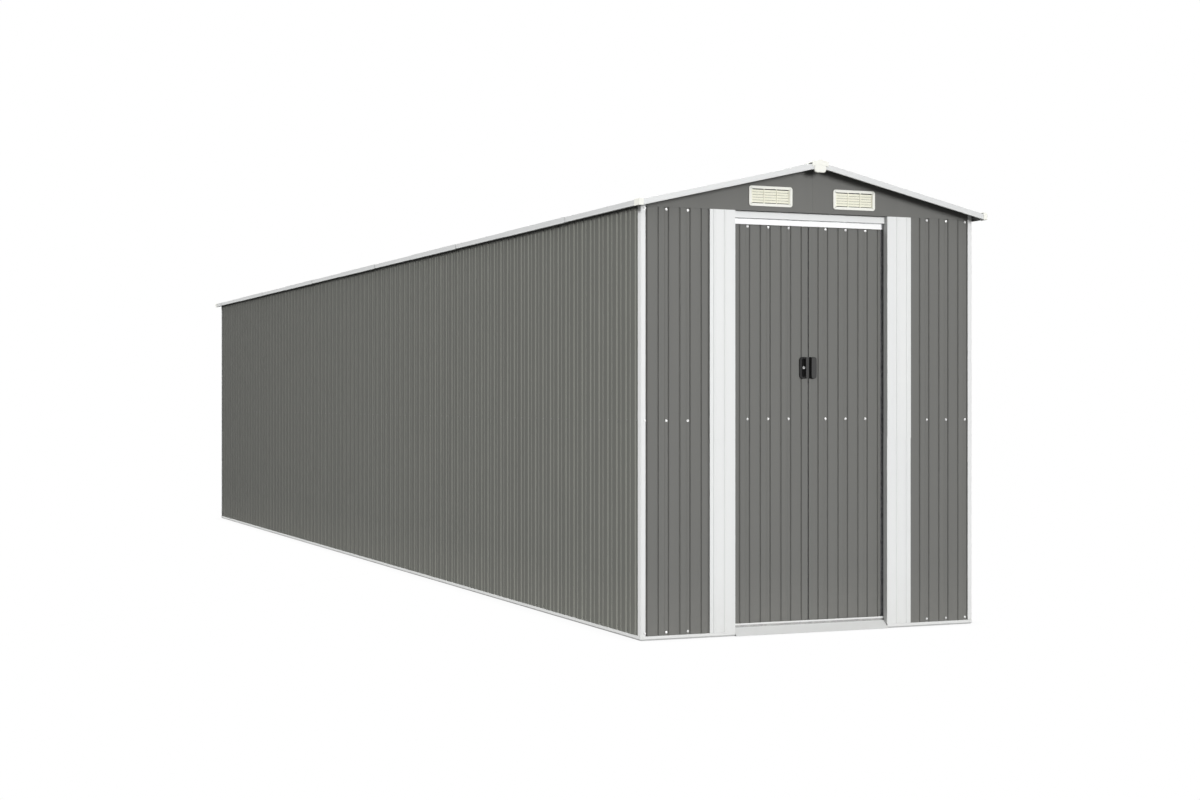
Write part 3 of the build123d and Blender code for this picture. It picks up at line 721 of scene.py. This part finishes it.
def saddle_section(crown, half, hem):
    """Places of a fold over the ridge: up a hem, along the left slope, down the right one and down a hem."""
    slope = half / math.cos(pitch)
    left_edge, right_edge = crown + left_down * slope, crown + down * slope
    return [left_edge - UP * hem, left_edge, crown, right_edge, right_edge - UP * hem]


ridge_crown = Vector((0, -ridge_reach, ridge_under + cover_rise / math.cos(pitch)))
ridge_section = saddle_section(ridge_crown, ridge_half, ridge_hem)
ridge_cap = fold("ridge_capping", ridge_section, BACK * (2 * ridge_reach), LEFT)
press(ridge_cap, ridge_bend, ridge_steel)
turned_section = [place + BACK * seat_gap for place in ridge_section[1:4]]
turned_end = fold("ridge_turned_end", turned_section, -UP * ridge_hem, FRONT)
thicken(turned_end, ridge_steel)
ridge_cap = joined("ridge_capping", [ridge_cap, turned_end, mirrored(turned_end, "ridge_back_end", MIRROR_ALONG)])
dress(ridge_cap, white_paint, "shell", "white_paint", "ridge_cap")
ridge_height = 2.230
cap_front = 4.9733
cap_half = 0.043
cap_length = 0.060
cap_hem = 0.005
cap_wall = 0.0045
cap_bend = 0.002
brow_drop = 0.024
brow_wall = 0.0025
brow_edge = 0.0008
nose_set_back = 0.0006
nose_half = 0.032
nose_depth = 0.013
nose_bottom = 2.168
nose_top = 2.2165
nose_corner = 0.015
nose_edge = 0.0045


def ridge_end():
    """The front end cap: a thick saddle over the capping, a brow before it, and a rounded nose below the brow."""
    section = saddle_section(Vector((0, -cap_front, ridge_height)), cap_half, cap_hem)
    saddle = fold("cap_saddle", [place + BACK * brow_wall for place in section], BACK * cap_length, LEFT)
    press(saddle, cap_bend, cap_wall)
    brow = fold("cap_brow", section[1:4], -UP * brow_drop, FRONT)
    thicken(brow, brow_wall)
    soften(brow, brow_edge, EDGE_ANGLE)
    smooth(brow)
    nose = block("cap_nose", (-nose_half, nose_set_back - cap_front, nose_bottom),
                 (nose_half, nose_depth - cap_front, nose_top))
    round_edges(nose, lambda middle, way: front_to_back(middle, way) and middle.z < (nose_bottom + nose_top) / 2,
                nose_corner, segments=5)
    end_edit()
    soften(nose, nose_edge, EDGE_ANGLE, segments=3)
    smooth(nose)
    return joined("ridge_end_front", [saddle, brow, nose])


ridge_ends = paired("ridge_ends", ridge_end(), MIRROR_ALONG)
dress(ridge_ends, cream_plastic, "shell", "cream_plastic", "ridge_end_caps")


# Eave trims: white-painted fascias over the lower ends of the roof sheets, with a flange on top of them.
# They are in lengths, every other one lapped over its neighbours, and the lower edge is a hem.
roof_half = 0.930
roof_end = 4.970
fall = math.tan(pitch)
eave_top = roof_under(roof_half) + cover_rise / math.cos(pitch)
eave_bottom = 1.98085
eave_flange = 0.022
eave_foot = 0.012
eave_reach = 4.9137
eave_first_joint = -4.035
eave_length = 0.873
eave_lap = 0.010
eave_step = 0.0016
edge_steel = 0.0006
edge_bend = 0.0003
bead_proud = 0.0010
bead_top = 0.0050
bead_shoulder = 0.0040
bead_nose = 0.0006
trim_paint = painted_steel("trim_paint", (0.68, 0.69, 0.685), (0.64, 0.65, 0.65), (0.60, 0.59, 0.57), 0.4)


def hemmed_face(top, low, foot):
    """Outline of a trim's face, as depths behind its hem and heights: the face, the hem and the foot behind it."""
    return [(bead_proud, top), (bead_proud, low + bead_top), (0.0, low + bead_shoulder), (0.0, low + bead_nose),
            (bead_proud, low), (foot, low)]


def eave_trim(name, start, end, proud):
    """One length of the right-hand fascia, set out by proud over its neighbours."""
    edge = roof_half - eave_step + proud
    top = eave_top - eave_step + proud
    low = eave_bottom + eave_step - proud
    outline = [(eave_flange, top + eave_flange * fall)] + hemmed_face(top, low, eave_foot)
    section = [Vector((edge - depth, start, height)) for depth, height in outline]
    length = fold(name, section, BACK * (end - start), square)
    press(length, edge_bend, edge_steel)
    return length


eave_joints = [-eave_reach]
while eave_first_joint + (len(eave_joints) - 1) * eave_length < eave_reach:
    eave_joints.append(eave_first_joint + (len(eave_joints) - 1) * eave_length)
eave_joints.append(eave_reach)
lengths = []
for count, (start, end) in enumerate(zip(eave_joints, eave_joints[1:])):
    lapped = count % 2
    start -= lapped * eave_lap
    end += eave_lap if lapped and end < eave_reach else 0.0
    lengths.append(eave_trim(f"eave_length_{count}", start, end, eave_step * lapped))
eave = joined("eave_right", lengths)
dress(mirrored(eave, "eave_left", MIRROR_ACROSS), trim_paint, "shell", "white_paint", "eave_trim_left")
dress(eave, trim_paint, "shell", "white_paint", "eave_trim_right")


# Verge trims: white-painted bargeboards down the sloping ends of the roof, front and back.
# A flange lies on the end sheet, the face hides its edge, and the lower edge is a hem.
verge_top = 0.0023
verge_face = 0.027 * math.cos(pitch)
verge_flange = 0.025
verge_foot = 0.010
verge_spare = 0.02
corner_width = 0.0225
verge_end = roof_half - corner_width - seat_gap


def verge_trim(name):
    """The front bargeboard of the right slope, from the ridge cap's nose to the corner cap."""
    outline = [(verge_flange, verge_top)] + hemmed_face(verge_top, verge_top - verge_face, verge_foot)
    corner = Vector((0, -roof_end, ridge_under))
    section = [corner + BACK * depth + square * height for depth, height in outline]
    board = fold(name, section, down * (verge_end / math.cos(pitch) + verge_spare), square)
    press(board, edge_bend, edge_steel)
    cut_off(board, RIGHT * verge_end, RIGHT)
    cut_off(board, RIGHT * (nose_half + seat_gap), LEFT)
    return board


verges = paired("verges_front", verge_trim("verge_front_right"), MIRROR_ACROSS)
dress(mirrored(verges, "verges_back", MIRROR_ALONG), trim_paint, "shell", "white_paint", "verge_trim_back")
dress(verges, trim_paint, "shell", "white_paint", "verge_trim_front")


# Corner caps: cream mouldings that close the roof's four corners, where eave and verge trims end.
# Each is a thin-walled box, open below and towards the roof, that stands a little above the trims.
corner_length = 0.056
corner_rise = 0.0018
corner_edge = 0.0025
corner_wall = 0.0022
corner_top = eave_top + corner_width * fall + corner_rise


def corner_cap():
    """The cap of the front right corner, its top falling with the roof."""
    cap = block("corner_front_right", (roof_half - corner_width, -roof_end, eave_bottom),
                (roof_half, corner_length - roof_end, corner_top))
    pick_edges(cap, lambda middle, way: front_to_back(middle, way) and middle.x > roof_half - corner_width / 2
               and middle.z > eave_top)
    bpy.ops.transform.translate(value=-UP * (corner_width * fall))
    pick_faces(cap, lambda middle, normal: max(-normal.z, normal.y, -normal.x) > ALIGNED)
    bpy.ops.mesh.delete(type="FACE")
    end_edit()
    soften(cap, corner_edge, EDGE_ANGLE, segments=3)
    thicken(cap, corner_wall)
    smooth(cap)
    return cap


corners = paired("corners_front", corner_cap(), MIRROR_ACROSS)
corners = paired("roof_corners", corners, MIRROR_ALONG)
dress(corners, cream_plastic, "shell", "cream_plastic", "eave_corner_caps")


# Door leaves: grooved grey sheets like the walls, on a galvanised edge frame behind.
# Each leaf runs on plastic glides between the top and the bottom track, and slides behind the jambs.
leaf_edge = 0.397
leaf_meeting = 0.0025
leaf_bottom = 0.050
leaf_top = 1.94007
leaf_face = 0.0427
leaf_right_first = 0.0825
leaf_left_first = 0.076


def leaf_sheet(name, first, step):
    """A leaf drawn as the right-hand one, from its outer edge in to the meeting line."""
    corner = RIGHT * leaf_edge + FRONT * (half_length - leaf_face) + UP * leaf_bottom
    return wall_sheet(name, corner, LEFT, FRONT, 0.0, leaf_edge - leaf_meeting, leaf_top - leaf_bottom, first, step)


right_leaf = leaf_sheet("leaf_right", leaf_right_first, narrow_step)
left_leaf = swapped(leaf_sheet("leaf_twin", leaf_left_first, turned_step), "leaf_left")
dress(right_leaf, grey_paint, "right_door", "grey_paint", "right_door_sheet")
dress(left_leaf, grey_paint, "left_door", "grey_paint", "left_door_sheet")


# Door pulls and glides: black mouldings. The left pull has a sunk finger hold with the lock's key barrel in it,
# and a raised grip beside the meeting edge; the right pull is a raised grip beside a deep groove.
# They are screwed on from behind, and the glides sit in the leaf's frame. The raised grips are a lighter black, painted
# light, and the finger hold and groove a near black, painted shade.
pull_height = 1.2525
pull_half = 0.0515
pull_edge = 0.0014
leaf_plane = leaf_face - half_length
hollow_floor = 0.0016
key_off_middle = 0.0284
key_place = Vector((key_off_middle, leaf_plane - hollow_floor, pull_height))
collar_radius, collar_height, collar_rim, collar_crown = 0.0092, 0.0030, 0.0015, 0.0008
key_lift, key_radius, key_height, key_rim, key_dish = 0.0035, 0.0066, 0.0045, 0.0012, 0.0006
slot_inset, slot_narrow, slot_depth = 0.0020, (0.4, 1, 1), 0.0022
stud_sides = 20
black_plastic = plastic("black_plastic", (0.030, 0.030, 0.030), (0.023, 0.023, 0.023), 0.6, 0.25, 0.12)
# The grip plastic is a lighter copy of the black: painted light. The sunk plastic is a darker copy: painted shade in
# the hollows.
painted_light_grip_plastic = plastic("painted_light_grip_plastic", (0.066, 0.066, 0.065), (0.054, 0.054, 0.053), 0.6, 0.25, 0.15)
painted_shade_plastic = plastic("painted_shade_plastic", (0.009, 0.009, 0.009), (0.006, 0.006, 0.006), 0.7, 0.25, 0.05)
lock_steel = zinc_coat("lock_steel", (0.24, 0.24, 0.24), (0.20, 0.20, 0.20))
coat(black_plastic, "left_door_glides", "right_door_glides")


def pad(name, near, far, half_height, back, proud, corner):
    """A moulded pad on the right leaf, between two distances off the meeting line, with rounded corners."""
    piece = block(name, (near, leaf_plane - proud, pull_height - half_height),
                  (far, leaf_plane - back, pull_height + half_height))
    round_edges(piece, front_to_back, corner, segments=4)
    end_edit()
    soften(piece, pull_edge, EDGE_ANGLE)
    return piece


def round_stud(name, place, radius, height):
    """A round boss that stands out from its place towards the front, left in edit mode with its face selected."""
    bpy.ops.object.select_all(action="DESELECT")
    bpy.ops.mesh.primitive_cylinder_add(vertices=stud_sides, radius=radius, depth=height)
    stud = bpy.context.object
    stud.name = name
    start_edit()
    bpy.ops.transform.rotate(value=math.radians(90), orient_axis="X", center_override=(0, 0, 0))
    bpy.ops.transform.translate(value=place + FRONT * (height / 2))
    pick_faces(stud, lambda middle, normal: normal.y < -ALIGNED)
    return stud


plate = pad("pull_plate", near=leaf_meeting, far=0.0488, half_height=pull_half, back=seat_gap, proud=0.0070,
            corner=0.0150)
hollow = pad("pull_hollow", near=0.0192, far=0.0380, half_height=0.0450, back=hollow_floor, proud=0.0120,
             corner=0.0090)
use_modifier(plate, "BOOLEAN", operation="DIFFERENCE", object=hollow, solver="EXACT")
bpy.data.objects.remove(hollow)
collar = round_stud("pull_collar", key_place, collar_radius, collar_height)
bpy.ops.mesh.inset(thickness=collar_rim)
bpy.ops.transform.translate(value=FRONT * collar_crown)
end_edit()
sunk = pad("pull_sunk", near=0.0194, far=0.0378, half_height=0.0448, back=0.0010, proud=0.0024, corner=0.0088)
sunk = joined("pull_sunk", [sunk, collar])
grip = pad("pull_grip", near=0.0028, far=0.0184, half_height=0.0500, back=0.0066, proud=0.0130, corner=0.0055)
key = round_stud("pull_key", key_place + FRONT * key_lift, key_radius, key_height)
bpy.ops.mesh.inset(thickness=key_rim)
draw_out(BACK * key_dish)
bpy.ops.mesh.inset(thickness=slot_inset)
bpy.ops.transform.resize(value=slot_narrow, center_override=key_place)
draw_out(BACK * slot_depth)
end_edit()
groove = pad("pull_groove", near=leaf_meeting, far=0.0180, half_height=pull_half, back=seat_gap, proud=0.0030,
             corner=0.0060)
hold = pad("pull_hold", near=0.0118, far=0.0388, half_height=pull_half, back=seat_gap, proud=0.0130, corner=0.0110)
for piece in (plate, sunk, grip, key, groove, hold):
    smooth(piece)
# Grips take the painted-light plastic; the hollow and the groove take the painted-shade plastic.
for piece, name, material, slot in ((plate, "left_pull_plate", black_plastic, "black_plastic"),
                                    (sunk, "left_pull_hollow", painted_shade_plastic, "black_plastic"),
                                    (grip, "left_pull_grip", painted_light_grip_plastic, "black_plastic"),
                                    (key, "left_pull_key", lock_steel, "bare_steel")):
    dress(swapped(piece, name), material, "left_door", slot, "left_door_pull")
dress(groove, painted_shade_plastic, "right_door", "black_plastic", "right_door_pull")
dress(hold, painted_light_grip_plastic, "right_door", "black_plastic", "right_door_pull")


# Screws: zinc-plated domed heads on sealing washers, one in each wide groove at every rail.
# The walls have three rows and the door leaves two; one post has screws too, and those of the long sides are painted
# darker, as painted shade.
head_sides = 10
washer_radius = 0.0058
washer_height = 0.0014
washer_rim = 0.0018
head_height = 0.0020
crown_inset = 0.0012
crown_rise = 0.0008
wall_rows = (0.034, 0.970, 3)
leaf_rows = (1.010, 0.905, 2)
post_screw = 0.0205
wall_floor = sheet_face - wide_groove[2]
front_floor = wall_floor - half_length
leaf_floor = leaf_plane - wide_groove[2]
zinc_plate = zinc_coat("zinc_plate", (0.66, 0.66, 0.65), (0.56, 0.56, 0.56))


def screw_head(name, place, outward):
    """A washer with a domed head, its back on the place and its head outward."""
    bpy.ops.object.select_all(action="DESELECT")
    bpy.ops.mesh.primitive_cylinder_add(vertices=head_sides, radius=washer_radius, depth=washer_height)
    head = bpy.context.object
    head.name = name
    start_edit()
    bpy.ops.transform.translate(value=UP * (washer_height / 2))
    pick_faces(head, lambda middle, normal: normal.z > ALIGNED)
    bpy.ops.mesh.inset(thickness=washer_rim)
    draw_out(UP * head_height)
    bpy.ops.mesh.inset(thickness=crown_inset)
    bpy.ops.transform.translate(value=UP * crown_rise)
    end_edit()
    head.data.transform(UP.rotation_difference(outward).to_matrix().to_4x4())
    start_edit()
    bpy.ops.transform.translate(value=place)
    end_edit()
    return head


def screw_rows(name, x, y, outward, along, count, rows):
    """Screw heads at each pitch along a wall, in rows: the height of the lowest, their step and their number."""
    lowest, row_step, row_count = rows
    heads = screw_head(name, Vector((x, y, lowest)), outward)
    repeat(heads, count, along * groove_pitch)
    repeat(heads, row_count, UP * row_step)
    smooth(heads)
    return heads


side_screws = screw_rows("screws_right", half_width - wall_floor, side_panels * panel_module / 2 - first_groove,
                         RIGHT, FRONT, side_panels * panel_grooves + 1, wall_rows)
# The long sides' screws take the darker zinc: painted shade.
dress(mirrored(side_screws, "screws_left", MIRROR_ACROSS), painted_shade_zinc, "shell", "bare_steel")
dress(side_screws, painted_shade_zinc, "shell", "bare_steel")
front_screws = [screw_rows("screws_front", half_width - front_right_first + groove_pitch, front_floor,
                           FRONT, LEFT, 3, wall_rows),
                screw_rows("screws_front_left", front_left_first - half_width, front_floor,
                           FRONT, RIGHT, 2, wall_rows),
                screw_rows("screws_front_post", post_screw - half_width, -half_length, FRONT, RIGHT, 1, wall_rows)]
dress(joined("screws_front", front_screws), zinc_plate, "shell", "bare_steel")
back_screws = screw_rows("screws_back", first_groove - back_panels * panel_module / 2, half_length - wall_floor,
                         BACK, RIGHT, back_panels * panel_grooves, wall_rows)
dress(back_screws, zinc_plate, "shell", "bare_steel")
right_screws = screw_rows("screws_right_leaf", leaf_edge - leaf_right_first, leaf_floor, FRONT, LEFT, 3, leaf_rows)
left_screws = screw_rows("screws_left_leaf", leaf_left_first - leaf_edge, leaf_floor, FRONT, RIGHT, 3, leaf_rows)
dress(right_screws, zinc_plate, "right_door", "bare_steel")
dress(left_screws, zinc_plate, "left_door", "bare_steel")


# Studio floor: a plain pale sheet that the camera alone sees, so it lights nothing.
# It is a little shaded where the pieces meet it, and dark where the shed closes it in.
bpy.ops.object.select_all(action="DESELECT")
bpy.ops.mesh.primitive_plane_add(size=400)
floor = bpy.context.object
floor.name = "studio_floor"
floor_material = bpy.data.materials.new("studio_floor")
floor_material.use_nodes = True
floor_tree = floor_material.node_tree
contact = shader_node(floor_tree, "ShaderNodeAmbientOcclusion", {"Distance": 0.15})
pale = ranged(floor_tree, contact.outputs["AO"], source=(0.3, 0.9), target=(0.93, 1.0))
indoors = shader_node(floor_tree, "ShaderNodeAmbientOcclusion", {"Distance": 4.0})
shade = ranged(floor_tree, indoors.outputs["AO"], source=(0.0, 0.3), target=(0.10, 1.0))
light = shader_node(floor_tree, "ShaderNodeMath", {0: pale, 1: shade}, operation="MULTIPLY")
glow = shader_node(floor_tree, "ShaderNodeEmission", {"Strength": light.outputs[0]})
floor_tree.links.new(glow.outputs[0], floor_tree.nodes["Material Output"].inputs["Surface"])
floor.data.materials.append(floor_material)
floor.visible_diffuse = False
floor.visible_glossy = False


# Light: a white dome, dimmer from below, and three broad suns, the key from the front right.
# The left wall has a soft lamp of its own from the front left, kept off everything else,
# and the sun from the left is kept off that wall.
sky = bpy.data.worlds.new("studio_sky")
bpy.context.scene.world = sky
sky.use_nodes = True
sky_tree = sky.node_tree
way = shader_node(sky_tree, "ShaderNodeTexCoord").outputs["Generated"]
rise = shader_node(sky_tree, "ShaderNodeSeparateXYZ", {0: way}).outputs["Z"]
dome = ranged(sky_tree, rise, source=(-0.15, 0.0), target=(0.16, 0.5))
seen = shader_node(sky_tree, "ShaderNodeLightPath").outputs["Is Camera Ray"]
level = shader_node(sky_tree, "ShaderNodeMix", {"Factor": seen, 2: dome, 3: 1.0}, data_type="FLOAT")
sky_tree.links.new(level.outputs[0], sky_tree.nodes["Background"].inputs["Strength"])
sky_tree.nodes["Background"].inputs["Color"].default_value = (1, 1, 1, 1)


def new_lamp(name, kind, travel, strength):
    """A lamp whose light travels one way."""
    lamp_data = bpy.data.lights.new(name, kind)
    lamp_data.energy = strength
    made = bpy.data.objects.new(name, lamp_data)
    bpy.context.scene.collection.objects.link(made)
    made.rotation_euler = Vector(travel).to_track_quat("-Z", "Y").to_euler()
    return made


def lit_by(lamp, piece, state):
    """Let a lamp light one piece alone, or all but that one."""
    lit = bpy.data.collections.new(f"lit_by_{lamp.name}")
    lit.objects.link(piece)
    lamp.light_linking.receiver_collection = lit
    lit.collection_objects[0].light_linking.link_state = state


for name, travel, strength, spread in (("key_lamp", (-0.240, 0.963, -0.122), 2.46, 22),
                                       ("left_lamp", (0.810, -0.217, -0.545), 2.4, 14),
                                       ("back_lamp", (-0.35, -0.80, -0.48), 1.8, 20)):
    lamp = new_lamp(name, "SUN", travel, strength)
    lamp.data.angle = math.radians(spread)
    if name == "left_lamp":
        lit_by(lamp, left_sheets, "EXCLUDE")
wall_place = Vector((-14.0, -30.0, 4.5))
wall_aim = Vector((-half_width, -1.0, 1.0))
wall_lamp = new_lamp("wall_lamp", "AREA", wall_aim - wall_place, 8700)
wall_lamp.data.color = (0.98, 1.0, 0.935)
wall_lamp.data.size = 4.5
wall_lamp.location = wall_place
lit_by(wall_lamp, left_sheets, "INCLUDE")


# Camera: it stands where the picture was taken from, in front and to the left, at chest height and level.
# Colours are shown as they are, with no film look.
camera_data = bpy.data.cameras.new("camera")
camera_data.lens = 56.2
camera_data.sensor_width = 36
camera_data.shift_y = 0.0013
camera_data.clip_end = 500
camera = bpy.data.objects.new("camera", camera_data)
bpy.context.scene.collection.objects.link(camera)
camera.location = (-4.321, -12.713, 1.092)
camera.rotation_euler = (math.radians(90), 0, math.radians(-22.455))
bpy.context.scene.camera = camera
bpy.context.scene.view_settings.view_transform = "Standard"
